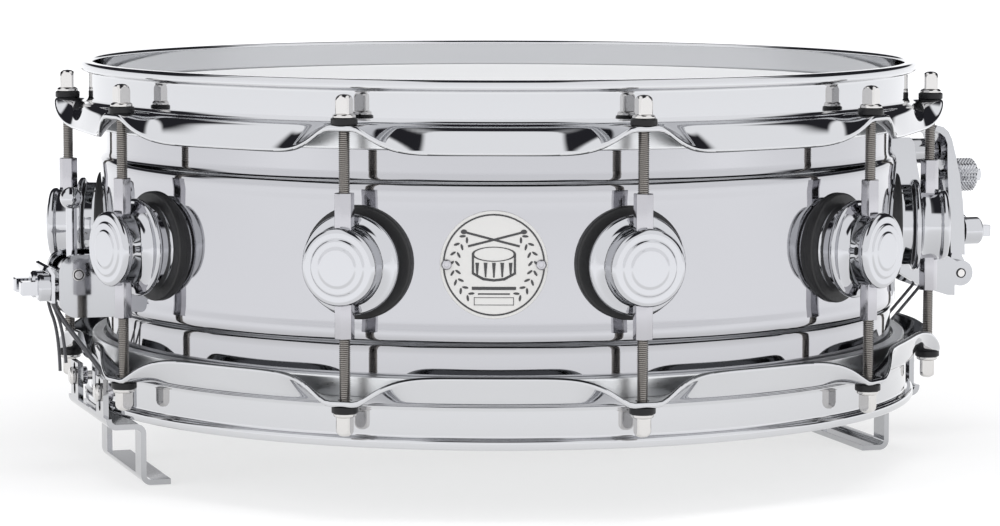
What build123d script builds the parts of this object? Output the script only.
"""Ten-lug metal snare drum, 14 inch by 5 inch, standing on its two snare guards.

Row frame: millimetres, +Z up, origin on the drum's axis at the level that the guards stand on.
Angles round the drum are measured from the front (-Y) towards the right (+X). Each fitting is
modelled in a local frame whose +X points out of the drum, then turned to its angle.
"""

from build123d import *
import os
from math import cos, radians, sin, sqrt

# ---- driving dimensions -------------------------------------------------------------------
MID_Z = 105.5                 # height of the drum's middle above the floor
LUG_COUNT = 10
FIRST_LUG_DEG = 18.0          # the badge sits midway between two lugs
STRAINER_DEG = 108.0
BUTT_DEG = -72.0
GATES_DEG = (BUTT_DEG, STRAINER_DEG)
VENT_DEG = 180.0

EDGE_Z = 63.5                 # bearing edges, above and below the middle: a 5 inch shell
WALL_R = 180.0                # shell's outer wall
BEAD_R = 180.3
NECK_R = 178.0
SHEET = 1.2
EDGE_R = 176.4
SCREW_R = 2.0

FLESH_IN_R = 179.4
FLESH_OUT_R = 184.4
FLESH_TOP_Z = 55.9

RIM_Z = 75.5                  # top of the hoop
RIM_R = 188.7
HOOP_OUT_R = 185.4
HOOP_IN_R = 183.1
EAR_TOP_Z = 57.4
EAR_THICK = 2.5
EAR_TIP_R = 201.3
SKIRT_EDGE_Z = 45.0

ROD_CIRCLE_R = 196.0
ROD_R = 2.4
ROD_HOLE_R = 3.0
ROD_HEAD_Z = 69.9
KEY_SQUARE = 6.0

LUG_SCREW_Z = 8.0
GASKET_R = 23.5
STRAINER_SCREW_Z = (25.0, -12.0)
BUTT_SCREW_Z = (-12.0, -29.0)
BADGE_SCREW_T = 19.3
VENT_R = 5.0

SNARE_Z = -65.0               # middle of the snare strands
STRAND_COUNT = 20
STRAND_PITCH = 2.1
STRAND_R = 0.8
STRAND_HALF = 150.0
CORD_R = 0.75

os.makedirs("parts", exist_ok=True)


# ---- helpers ------------------------------------------------------------------------------
def turn(shape, angle):
    """Turn a shape from its local frame to an angle round the drum."""
    return Rot(0, 0, angle - 90) * shape


def ring(outline, side=1):
    """Turn an (r, z) outline about the drum's axis; z is above the middle, side -1 flips it."""
    points = [(r, 0, MID_Z + side * z) for r, z in outline]
    return revolve(make_face(Polyline(*points, close=True)), Axis.Z)


def boss(outline, t=0.0, z=0.0):
    """Turn an (r, radius) outline about a line that points out of the drum."""
    face = make_face(Polyline(*[(r, radius, 0) for r, radius in outline], close=True))
    return Pos(0, t, MID_Z + z) * revolve(face, Axis.X)


def peg(radius, r_low, r_high, t=0.0, z=0.0):
    """A plain round that points out of the drum."""
    return boss([(r_low, 0), (r_low, radius), (r_high, radius), (r_high, 0)], t, z)


def slab(outline, t_low, t_high):
    """Extrude an (r, z) outline sideways, from t_low to t_high."""
    points = [(r, t_low, MID_Z + z) for r, z in outline]
    return extrude(make_face(Polyline(*points, close=True)), t_high - t_low, dir=(0, 1, 0))


def block(r_low, r_high, t_low, t_high, z_low, z_high):
    size = (r_high - r_low, t_high - t_low, z_high - z_low)
    centre = ((r_low + r_high) / 2, (t_low + t_high) / 2, MID_Z + (z_low + z_high) / 2)
    return Pos(*centre) * Box(*size)


def cross_pin(radius, r, z, t_low, t_high):
    """A round that runs sideways."""
    middle = (t_low + t_high) / 2
    return Pos(r, middle, MID_Z + z) * Rot(90, 0, 0) * Cylinder(radius, t_high - t_low)


def upright(radius, z_low, z_high, r=ROD_CIRCLE_R):
    return Pos(r, 0, MID_Z + (z_low + z_high) / 2) * Cylinder(radius, abs(z_high - z_low))


def lug_angles():
    return [FIRST_LUG_DEG + 360.0 / LUG_COUNT * i for i in range(LUG_COUNT)]


def save(name, shapes):
    """Write one node: a single solid, or a group of like solids."""
    if isinstance(shapes, list):
        solids = [solid for shape in shapes for solid in shape.solids()]
        shapes = Compound(children=solids)
    export_step(shapes, f"parts/{name}.step")


def key_head(r_low, r_high, size, t, z):
    """The square head of a drum-key screw, with its outer edges eased."""
    half = size / 2
    head = block(r_low, r_high, t - half, t + half, z - half, z + half)
    return fillet(head.edges().group_by(Axis.X)[-1], 0.9)


def tube(points, radii, radius=CORD_R):
    """A cord along straight runs joined by arcs."""
    path = FilletPolyline(*points, radius=radii)
    start = path @ 0
    section = Plane(origin=start, z_dir=path % 0) * Circle(radius)
    return sweep(section, path=path)


# ---- shell --------------------------------------------------------------------------------
def make_shell():
    upper = [
        (WALL_R, 24.0), (BEAD_R, 27.5), (BEAD_R, 31.2), (NECK_R, 35.6),
        (NECK_R, EDGE_Z - 1.6), (EDGE_R, EDGE_Z), (EDGE_R - 6.0, EDGE_Z - 6.0),
        (EDGE_R - 5.15, EDGE_Z - 6.85), (EDGE_R, EDGE_Z - 1.7), (NECK_R - SHEET, EDGE_Z - 2.1),
        (NECK_R - SHEET, 35.2), (BEAD_R - SHEET, 30.9), (BEAD_R - SHEET, 27.8), (WALL_R - SHEET, 24.3),
    ]
    lower = [(r, -z) for r, z in reversed(upper)]
    shell = ring(upper + lower)
    holes = []
    for angle in lug_angles():
        for z in (LUG_SCREW_Z, -LUG_SCREW_Z):
            holes.append(turn(peg(SCREW_R + 0.25, 170, 190, 0, z), angle))
    for z in STRAINER_SCREW_Z:
        holes.append(turn(peg(SCREW_R + 0.25, 170, 190, 0, z), STRAINER_DEG))
    for z in BUTT_SCREW_Z:
        holes.append(turn(peg(SCREW_R + 0.25, 170, 190, 0, z), BUTT_DEG))
    for t in (BADGE_SCREW_T, -BADGE_SCREW_T):
        holes.append(turn(peg(1.3, 170, 190, t, 0), 0))
    holes.append(turn(peg(VENT_R + 0.9, 170, 190, 0, 0), VENT_DEG))
    bed_r = (45.0 ** 2 + 1.2 ** 2) / (2 * 1.2)
    bed_axis_z = -EDGE_Z + 1.2 - bed_r
    bed = Pos(177, 0, MID_Z + bed_axis_z) * Rot(0, 90, 0) * Cylinder(bed_r, 16)
    bed = bed & block(168, 186, -48, 48, -EDGE_Z - 3, -EDGE_Z + 3)
    holes += [turn(bed, angle) for angle in GATES_DEG]
    return shell - holes


save("shell", make_shell())

eyelet = boss([(176.6, VENT_R), (176.6, 8.0), (177.6, 8.0), (178.6, VENT_R + 0.8),
               (180.2, VENT_R + 0.8), (180.2, 8.5), (181.2, 8.5), (181.8, 7.2), (181.8, VENT_R)])
save("vent_eyelet", turn(eyelet, VENT_DEG))


# ---- heads --------------------------------------------------------------------------------
def make_film(side, thick):
    low = EDGE_Z + 0.1
    wall = NECK_R + 0.3
    return ring([
        (0, low), (0, low + thick), (wall - 0.6, low + thick), (wall + thick, low - 0.9),
        (wall + thick, FLESH_TOP_Z - 6.5), (FLESH_IN_R - 0.1, FLESH_TOP_Z - 7.3),
        (FLESH_IN_R - 0.1, FLESH_TOP_Z - 7.3 - thick), (wall, FLESH_TOP_Z - 7.3 - thick),
        (wall, low - 1.1), (wall - 0.75, low),
    ], side)


def make_flesh_hoop(side):
    bottom = FLESH_TOP_Z - 9.4
    return ring([
        (FLESH_IN_R, bottom), (FLESH_OUT_R - 0.8, bottom), (FLESH_OUT_R, bottom + 0.8),
        (FLESH_OUT_R, FLESH_TOP_Z - 0.8), (FLESH_OUT_R - 0.8, FLESH_TOP_Z),
        (FLESH_IN_R + 0.8, FLESH_TOP_Z), (FLESH_IN_R, FLESH_TOP_Z - 0.8),
    ], side)


save("batter_head_film", make_film(1, 0.4))
save("batter_flesh_hoop", make_flesh_hoop(1))
save("snare_side_film", make_film(-1, 0.3))
save("snare_side_flesh_hoop", make_flesh_hoop(-1))


# ---- hoops --------------------------------------------------------------------------------
GATE_HALF = 19.0
GUARD_TAB_T = 28.5
GUARD_SCREW_Z = -66.0


def sector(outline, middle_deg, half_deg):
    """A piece of a ring that spans half_deg each side of an angle."""
    points = [(r, 0, MID_Z + z) for r, z in outline]
    face = make_face(Polyline(*points, close=True))
    swept = revolve(face, Axis.Z, 2 * half_deg)
    return Rot(0, 0, middle_deg - 90 - half_deg) * swept


def make_ear():
    """Flat ear that a tension rod pulls on, rounded at its tip."""
    half = 9.0
    tip_round = 7.0
    outline = Polyline(
        (HOOP_OUT_R - 0.5, -half - 5), (HOOP_OUT_R - 0.5, half + 5), (ROD_CIRCLE_R - 2, half),
        (EAR_TIP_R, half), (EAR_TIP_R, -half), (ROD_CIRCLE_R - 2, -half), close=True,
    )
    flat = make_face(outline)
    corners = flat.vertices().group_by(Axis.X)[-1]
    flat = fillet(corners, tip_round)
    return Pos(0, 0, MID_Z + EAR_TOP_Z - EAR_THICK) * extrude(flat, EAR_THICK)


def make_hoop():
    """Hoop for the top of the drum, before its gates are cut."""
    hoop = ring([
        (180.6, 56.0), (180.6, 58.2), (HOOP_IN_R, 58.2), (HOOP_IN_R, RIM_Z - 0.8),
        (HOOP_IN_R + 0.8, RIM_Z), (RIM_R - 1.0, RIM_Z), (RIM_R, RIM_Z - 1.0),
        (RIM_R, 71.8), (RIM_R - 0.6, 71.2), (HOOP_OUT_R, 71.2), (HOOP_OUT_R, 58.4),
        (HOOP_OUT_R + 1.0, EAR_TOP_Z), (189.9, EAR_TOP_Z), (189.9, EAR_TOP_Z - EAR_THICK),
        (184.8, EAR_TOP_Z - EAR_THICK), (184.8, 56.0),
    ])
    skirt = [(187.4, SKIRT_EDGE_Z), (189.9, SKIRT_EDGE_Z), (189.9, EAR_TOP_Z - 0.5),
             (187.4, EAR_TOP_Z - 0.5)]
    step = 360.0 / LUG_COUNT
    for angle in lug_angles():
        hoop += turn(make_ear(), angle)
        hoop += sector(skirt, angle + step / 2, step / 2 - 5.0)
    return hoop - [turn(upright(ROD_HOLE_R, 50, 60), angle) for angle in lug_angles()]


def make_bottom_hoop():
    """The same hoop turned over, with two gates for the snare cords and holes for the guards."""
    hoop = Pos(0, 0, MID_Z) * Rot(180, 0, 0) * Pos(0, 0, -MID_Z) * make_hoop()
    gate = block(HOOP_IN_R - 0.6, 195, -GATE_HALF, GATE_HALF, -71.2, -58.2)
    notch = block(184.6, 195, -GATE_HALF, GATE_HALF, -60, -44)
    screw_holes = [peg(SCREW_R + 0.2, 170, 195, t, GUARD_SCREW_Z) for t in (GUARD_TAB_T, -GUARD_TAB_T)]
    cuts = [turn(cut, angle) for cut in [gate, notch] + screw_holes for angle in GATES_DEG]
    return hoop - cuts


save("top_hoop", make_hoop())
save("bottom_hoop", make_bottom_hoop())


# ---- lugs ---------------------------------------------------------------------------------
HEX_FLATS = 7.2
RECEIVER_END_Z = 29.8
RECEIVER_SEAT_Z = 9.0
LUG_FACE_R = 204.6


def make_gasket():
    pad = peg(GASKET_R, 176, 182.0)
    inner = Pos(0, 0, MID_Z) * Cylinder(WALL_R + 0.1, 80)
    holes = [peg(SCREW_R + 0.25, 170, 190, 0, z) for z in (LUG_SCREW_Z, -LUG_SCREW_Z)]
    return pad - inner - holes


def make_lug():
    body = boss([
        (182.1, 0), (182.1, 19.0), (187.4, 18.6), (188.0, 20.4), (188.6, 20.8), (190.2, 20.8),
        (190.9, 19.8), (191.5, 17.4), (192.6, 16.0), (194.4, 15.2),
        (200.6, 15.2), (201.2, 16.0), (203.4, 16.0), (204.0, 15.4),
        (204.0, 11.6), (LUG_FACE_R, 11.0), (LUG_FACE_R, 8.0), (LUG_FACE_R + 0.7, 7.3),
        (LUG_FACE_R + 0.7, 0),
    ])
    cuts = [peg(SCREW_R + 0.05, 180, 189, 0, z) for z in (LUG_SCREW_Z, -LUG_SCREW_Z)]
    cuts += [upright(4.3, RECEIVER_SEAT_Z, 25), upright(4.3, -25, -RECEIVER_SEAT_Z)]
    return body - cuts


def make_receiver(side):
    """Hexagonal threaded sleeve that takes the end of a tension rod."""
    length = RECEIVER_END_Z - RECEIVER_SEAT_Z - 0.1
    flat = RegularPolygon(HEX_FLATS / 2, 6, major_radius=False, rotation=30)
    body = extrude(flat, length)
    body = chamfer(body.edges().group_by(Axis.Z)[-1], 0.5)
    body -= Cylinder(ROD_R + 0.08, 4 * length)
    if side < 0:
        body = Rot(180, 0, 0) * body
    return Pos(ROD_CIRCLE_R, 0, MID_Z + side * (RECEIVER_SEAT_Z + 0.1)) * body


def pan_screw(z, tip_r):
    """Screw put in from inside the shell, with its head against the washer."""
    return boss([(175.0, 0), (175.0, 2.6), (176.0, 3.7), (177.7, 3.7), (177.7, SCREW_R),
                 (tip_r, SCREW_R), (tip_r, 0)], 0, z)


def flat_washer(z):
    return peg(4.6, 177.8, 178.6, 0, z) - peg(SCREW_R + 0.2, 177, 180, 0, z)


lug_screw_zs = (LUG_SCREW_Z, -LUG_SCREW_Z)
save("lug_gaskets", [turn(make_gasket(), a) for a in lug_angles()])
save("lug_bodies", [turn(make_lug(), a) for a in lug_angles()])
save("lug_receivers", [turn(make_receiver(s), a) for a in lug_angles() for s in (1, -1)])
save("lug_screws", [turn(pan_screw(z, 188.5), a) for a in lug_angles() for z in lug_screw_zs])
save("lug_washers", [turn(flat_washer(z), a) for a in lug_angles() for z in lug_screw_zs])


# ---- tension rods -------------------------------------------------------------------------
NYLON_TOP_Z = 60.2


def make_rod(side):
    head = Pos(0, 0, (ROD_HEAD_Z + 61.5) / 2) * Box(KEY_SQUARE, KEY_SQUARE, ROD_HEAD_Z - 61.5)
    head = fillet(head.edges().group_by(Axis.Z)[-1], 1.5)
    flange_low = NYLON_TOP_Z + 0.05
    flange = Pos(0, 0, (flange_low + 61.9) / 2) * Cylinder(4.75, 61.9 - flange_low)
    shaft = Pos(0, 0, (10 + flange_low) / 2 + 0.1) * Cylinder(ROD_R, flange_low - 10 + 0.2)
    rod = head + flange + shaft
    if side < 0:
        rod = Rot(180, 0, 0) * rod
    return Pos(ROD_CIRCLE_R, 0, MID_Z) * rod


def make_rod_washer(side):
    low, high = sorted((side * EAR_TOP_Z, side * NYLON_TOP_Z))
    return upright(5.5, low, high) - upright(ROD_R + 0.25, low - 1, high + 1)


for number, angle in enumerate(lug_angles(), 1):
    save(f"top_rod_{number:02d}", turn(make_rod(1), angle))
    save(f"bottom_rod_{number:02d}", turn(make_rod(-1), angle))
save("rod_washers", [turn(make_rod_washer(s), a) for a in lug_angles() for s in (1, -1)])


# ---- badge --------------------------------------------------------------------------------
def make_badge():
    plate = peg(22.2, 170, 190)
    inner = Pos(0, 0, MID_Z) * Cylinder(WALL_R + 0.05, 80)
    outer = Pos(0, 0, MID_Z) * Cylinder(WALL_R + 0.85, 80)
    holes = [peg(1.2, 170, 190, t, 0) for t in (BADGE_SCREW_T, -BADGE_SCREW_T)]
    return (plate & outer) - inner - holes


def make_badge_screw(t):
    seat = sqrt((WALL_R + 0.85) ** 2 - (abs(t) - 2.2) ** 2)
    return boss([(seat - 4, 0), (seat - 4, 1.0), (seat + 0.05, 1.0), (seat + 0.05, 2.2),
                 (seat + 0.5, 2.2), (seat + 1.0, 1.5), (seat + 1.15, 0)], t, 0)


save("badge", turn(make_badge(), 0))
save("badge_screws", [turn(make_badge_screw(t), 0) for t in (BADGE_SCREW_T, -BADGE_SCREW_T)])


# ---- strainer, the throw-off --------------------------------------------------------------
STR_PIN = (224.1, -28.0)
STR_HALF = 14.0               # half width of the base and its cheeks
CHEEK = 4.0
LEVER_HALF = 13.0
KNOB_Z = 17.4
MAGNET_Z = 29.0
CLAMP_Z = -8.6
CLAMP_T = 8.0


def shell_cut():
    """The shell's outside, a little larger, that the back of each fitting is hollowed to."""
    gap = 0.15
    upper = [(0, 60), (NECK_R + gap, 60), (NECK_R + gap, 35.8), (BEAD_R + gap, 31.3),
             (BEAD_R + gap, 27.4), (WALL_R + gap, 23.9)]
    return ring(upper + [(r, -z) for r, z in reversed(upper)])


def make_strainer_base():
    outline = [
        (176, 36.5), (197.5, 36.5), (199.5, 34.0), (200.5, 26.0), (203, 14), (206, -2), (208.5, -14),
        (217, -19.5), (222, -22.4), (STR_PIN[0] + 2, STR_PIN[1] - 5.6), (221.0, -33.6), (221.0, -38.4),
        (217.5, -38.2), (211.7, -36.4), (203, -33.2), (193.5, -27.5), (188, -21.5), (176, -19.5),
    ]
    body = slab(outline, -STR_HALF, STR_HALF)
    body += cross_pin(6.0, *STR_PIN, -STR_HALF, STR_HALF)
    gap = STR_HALF - CHEEK
    body -= block(199.5, 240, -gap, gap, -45, 20)
    body -= block(193.0, 240, -gap, gap, -45, -21.5)
    body += peg(6.0, 199, 213.5, 0, MAGNET_Z)
    body -= shell_cut()
    body -= cross_pin(2.12, *STR_PIN, -20, 20)
    body -= peg(4.55, 212.4, 220, 0, MAGNET_Z)
    body -= [peg(SCREW_R + 0.05, 170, 191, 0, z) for z in STRAINER_SCREW_Z]
    return body


def make_strainer_lever():
    outline = [
        (211.2, 41.9), (214.6, 41.0), (217.2, 38.8), (219.0, 35.2), (221.2, 27.0), (223.2, 18.5),
        (225.0, 6.0), (226.0, -6.0), (226.4, -19.6), (219.2, -18.4), (218.2, 0), (217.0, 20.0),
        (216.7, 33.0), (215.4, 36.2), (212.9, 38.2), (210.3, 39.4),
    ]
    cavity = [
        (210, 25.0), (218.6, 25.0), (220.2, 18.5), (222.0, 6.0), (223.0, -6.0), (223.3, -22), (210, -22),
    ]
    lever = slab(outline, -LEVER_HALF, LEVER_HALF)
    lever = fillet(lever.edges().filter_by(Axis.Y).group_by(Axis.Z)[-1], 0.8)
    lever -= slab(cavity, -LEVER_HALF + 3, LEVER_HALF - 3)
    hub_half = STR_HALF - CHEEK - 0.3
    neck = [(222.6, -16), (226.3, -16), (226.4, -20), (229.0, -25), (220.0, -25), (221.0, -20)]
    lever += slab(neck, -hub_half, hub_half)
    lever += cross_pin(5.4, *STR_PIN, -hub_half, hub_half)
    lever -= cross_pin(2.15, *STR_PIN, -20, 20)
    lever -= peg(2.58, 205, 230, 0, KNOB_Z)
    lever -= [peg(SCREW_R + 0.05, 205, 230, t, CLAMP_Z) for t in (CLAMP_T, -CLAMP_T)]
    return lever


def make_knob():
    knob = boss([(217.6, 0), (217.6, 2.5), (224.4, 2.5), (224.4, 6.6), (225.6, 7.95), (234.4, 7.95),
                 (235.5, 6.9), (235.5, 0)], 0, KNOB_Z)
    knob += peg(3.6, 216.3, 217.6, 0, KNOB_Z)
    return knob + key_head(235.3, 239.4, 5.4, 0, KNOB_Z)


def make_clamp_screw(t, z, tip_r, inner_r, outer_r, key_r, collar_radius, square):
    """Drum-key screw with a wide collar; tip_r is its inner end."""
    screw = boss([(tip_r, 0), (tip_r, SCREW_R), (inner_r, SCREW_R), (inner_r, collar_radius),
                  (outer_r - 1.0, collar_radius), (outer_r, collar_radius - 1.0), (outer_r, 0)], t, z)
    return screw + key_head(outer_r - 0.2, key_r, square, t, z)


def make_strainer_clamp_plate():
    plate = block(218.8, 221.0, -9.6, 9.6, CLAMP_Z - 6.8, CLAMP_Z + 6.8)
    return plate - [peg(SCREW_R + 0.02, 205, 230, t, CLAMP_Z) for t in (CLAMP_T, -CLAMP_T)]


def strainer_screw(t):
    return make_clamp_screw(t, CLAMP_Z, 216.6, 226.5, 235.8, 240.9, 6.4, 5.4)


save("strainer_base", turn(make_strainer_base(), STRAINER_DEG))
save("strainer_magnet", turn(peg(4.5, 212.5, 216.3, 0, MAGNET_Z), STRAINER_DEG))
save("strainer_pin", turn(cross_pin(2.1, *STR_PIN, -14.4, 14.4), STRAINER_DEG))
save("strainer_lever", turn(make_strainer_lever(), STRAINER_DEG))
save("strainer_knob", turn(make_knob(), STRAINER_DEG))
save("strainer_clamp_plate", turn(make_strainer_clamp_plate(), STRAINER_DEG))
save("strainer_clamp_screws", [turn(strainer_screw(t), STRAINER_DEG) for t in (CLAMP_T, -CLAMP_T)])


# ---- butt plate with its three-position lever ---------------------------------------------
BUTT_PIN = (196.8, -15.8)
BUTT_HALF = 15.0
BUTT_EDGE_R = 205.4
BUTT_CLAMP_Z = -21.8
BALL_Z = 16.5


def make_butt_base():
    body = block(176, BUTT_EDGE_R, -BUTT_HALF, BUTT_HALF, -34.8, -7.2)
    outer = [e for e in body.edges().filter_by(Axis.Y) if e.center().X > 190]
    body = fillet(outer, 8.0)
    gap = BUTT_HALF - 4.0
    body -= block(186.5, 220, -gap, gap, -40, 0)
    body -= shell_cut()
    body -= cross_pin(2.12, *BUTT_PIN, -20, 20)
    body -= [peg(SCREW_R + 0.05, 170, 190, 0, z) for z in BUTT_SCREW_Z]
    return body


def make_butt_pin():
    pin = cross_pin(2.1, *BUTT_PIN, -15.8, 15.8)
    pin += cross_pin(2.7, *BUTT_PIN, BUTT_HALF + 0.02, BUTT_HALF + 0.8)
    return pin + cross_pin(2.7, *BUTT_PIN, -BUTT_HALF - 0.8, -BUTT_HALF - 0.02)


def make_butt_lever():
    r, z = BUTT_PIN
    lever = cross_pin(5.8, r, z, -4.8, 4.8)
    lever += upright(2.4, z + 4, BALL_Z, r)
    lever += Pos(r, 0, MID_Z + BALL_Z) * Sphere(4.95)
    return lever - cross_pin(2.15, r, z, -20, 20)


def make_butt_carrier():
    """Block that slides up and down between the cheeks and holds the clamp screws."""
    carrier = block(203.1, 205.3, -10.6, 10.6, -28.0, -14.0)
    for low, high in ((5.2, 10.6), (-10.6, -5.2)):
        carrier += block(199.0, 203.2, low, high, -28.0, -20.0)
    return carrier - [peg(SCREW_R + 0.02, 190, 210, t, BUTT_CLAMP_Z) for t in (CLAMP_T, -CLAMP_T)]


def make_butt_clamp_plate():
    plate = block(207.0, 208.6, -14.0, 14.0, -28.2, -15.6)
    plate += slab([(207.0, -15.8), (208.6, -15.8), (210.6, -12.6), (209.2, -12.0)], -14.0, 14.0)
    return plate - [peg(SCREW_R + 0.02, 190, 212, t, BUTT_CLAMP_Z) for t in (CLAMP_T, -CLAMP_T)]


def butt_screw(t):
    return make_clamp_screw(t, BUTT_CLAMP_Z, 199.4, 208.7, 213.9, 221.4, 6.0, 6.0)


save("butt_base", turn(make_butt_base(), BUTT_DEG))
save("butt_pin", turn(make_butt_pin(), BUTT_DEG))
save("butt_lever", turn(make_butt_lever(), BUTT_DEG))
save("butt_carrier", turn(make_butt_carrier(), BUTT_DEG))
save("butt_clamp_plate", turn(make_butt_clamp_plate(), BUTT_DEG))
save("butt_clamp_screws", [turn(butt_screw(t), BUTT_DEG) for t in (CLAMP_T, -CLAMP_T)])

fitting_screws = [turn(pan_screw(z, 190.5), STRAINER_DEG) for z in STRAINER_SCREW_Z]
fitting_screws += [turn(pan_screw(z, 186.0), BUTT_DEG) for z in BUTT_SCREW_Z]
save("fitting_screws", fitting_screws)


# ---- snare wires and their cords ----------------------------------------------------------
PLATE_OUTER_R = 166.0


def make_strand(index):
    t = (index - (STRAND_COUNT - 1) / 2) * STRAND_PITCH
    return Pos(0, t, MID_Z + SNARE_Z) * Rot(0, 90, 0) * Cylinder(STRAND_R, 2 * STRAND_HALF)


def make_end_plate():
    plate = block(STRAND_HALF + 0.05, PLATE_OUTER_R, -22.5, 22.5, SNARE_Z - 0.4, SNARE_Z + 0.4)
    return fillet(plate.edges().filter_by(Axis.Z).group_by(Axis.X)[-1], 4.0)


def cord_point(r, t, z):
    return (r, t, MID_Z + z)


def make_gate_cord(t, clamp_r, clamp_top_z, clamp_low_z):
    """One string, from the end plate under the head, through the gate and up into a clamp."""
    points = [
        cord_point(PLATE_OUTER_R + 0.1, t, SNARE_Z),
        cord_point(180.0, t, SNARE_Z - 0.7),
        cord_point(clamp_r, t, clamp_low_z),
        cord_point(clamp_r, t, clamp_top_z),
    ]
    return tube(points, [8.0, 4.0])


save("snare_wires", [turn(make_strand(i), STRAINER_DEG) for i in range(STRAND_COUNT)])
save("snare_end_plates", [turn(make_end_plate(), angle) for angle in GATES_DEG])
strainer_cords = [make_gate_cord(t, 222.0, -11.0, -15.6) for t in (4.0, -4.0)]
save("strainer_cords", [turn(cord, STRAINER_DEG) for cord in strainer_cords])
butt_cords = [make_gate_cord(t, 206.2, -20.0, -28.4) for t in (4.0, -4.0)]
save("butt_cords", [turn(cord, BUTT_DEG) for cord in butt_cords])

near_tail = [cord_point(206.2, 0.0, -20.0), cord_point(206.2, 0.0, -28.6),
             cord_point(200.8, -1.0, -41.0), cord_point(199.6, -1.5, -56.5)]
far_tail = [cord_point(206.2, -11.6, -20.0), cord_point(206.2, -11.8, -29.5),
            cord_point(200.6, -12.6, -44.0), cord_point(200.2, -12.6, -61.5)]
save("butt_tail_near", turn(tube(near_tail, [12.0, 20.0]), BUTT_DEG))
save("butt_tail_far", turn(tube(far_tail, [12.0, 20.0]), BUTT_DEG))


# ---- snare guards, which the drum stands on -----------------------------------------------
GUARD_THICK = 2.4
GUARD_HALF = 43.0
LEG_WIDTH = 12.0


def make_guard():
    """A strap bent four times: tabs on the hoop, a shelf under the rim, two legs and a foot."""
    half = GUARD_THICK / 2
    path = FilletPolyline(
        (189.5, 0, MID_Z - 59.5), (189.5, 0, MID_Z - 79.7), (174.4, 0, MID_Z - 79.7),
        (174.4, 0, half), (162.5, 0, half), radius=3.2,
    )
    start = Plane(origin=path @ 0, z_dir=path % 0, x_dir=(0, 1, 0))
    guard = sweep(start * Rectangle(2 * GUARD_HALF, GUARD_THICK), path=path)
    inner = GUARD_HALF - LEG_WIDTH
    guard -= block(165, 185.5, -inner, inner, -101.5, -81.2)
    tab_low, tab_high = GUARD_TAB_T - 8, GUARD_TAB_T + 8
    guard -= block(187.5, 195, -tab_low, tab_low, -76, -50)
    for low, high in ((tab_high, 60), (-60, -tab_high)):
        guard -= block(187.5, 195, low, high, -76, -50)
    for t in (GUARD_TAB_T, -GUARD_TAB_T):
        for z in range(-72, -60, 2):
            guard -= peg(SCREW_R + 0.15, 180, 200, t, z)
        guard -= block(180, 200, t - SCREW_R - 0.15, t + SCREW_R + 0.15, -72, -62)
    return guard


def make_guard_screw(t):
    return boss([(178.9, 0), (178.9, SCREW_R), (190.8, SCREW_R), (190.8, 4.0), (192.4, 4.0),
                 (193.2, 2.6), (193.2, 0)], t, GUARD_SCREW_Z)


def make_guard_spacer(t):
    return peg(4.0, 185.2, 188.2, t, GUARD_SCREW_Z) - peg(SCREW_R + 0.1, 180, 195, t, GUARD_SCREW_Z)


guard_ts = (GUARD_TAB_T, -GUARD_TAB_T)
save("strainer_guard", turn(make_guard(), STRAINER_DEG))
save("butt_guard", turn(make_guard(), BUTT_DEG))
save("guard_screws", [turn(make_guard_screw(t), a) for a in GATES_DEG for t in guard_ts])
save("guard_spacers", [turn(make_guard_spacer(t), a) for a in GATES_DEG for t in guard_ts])
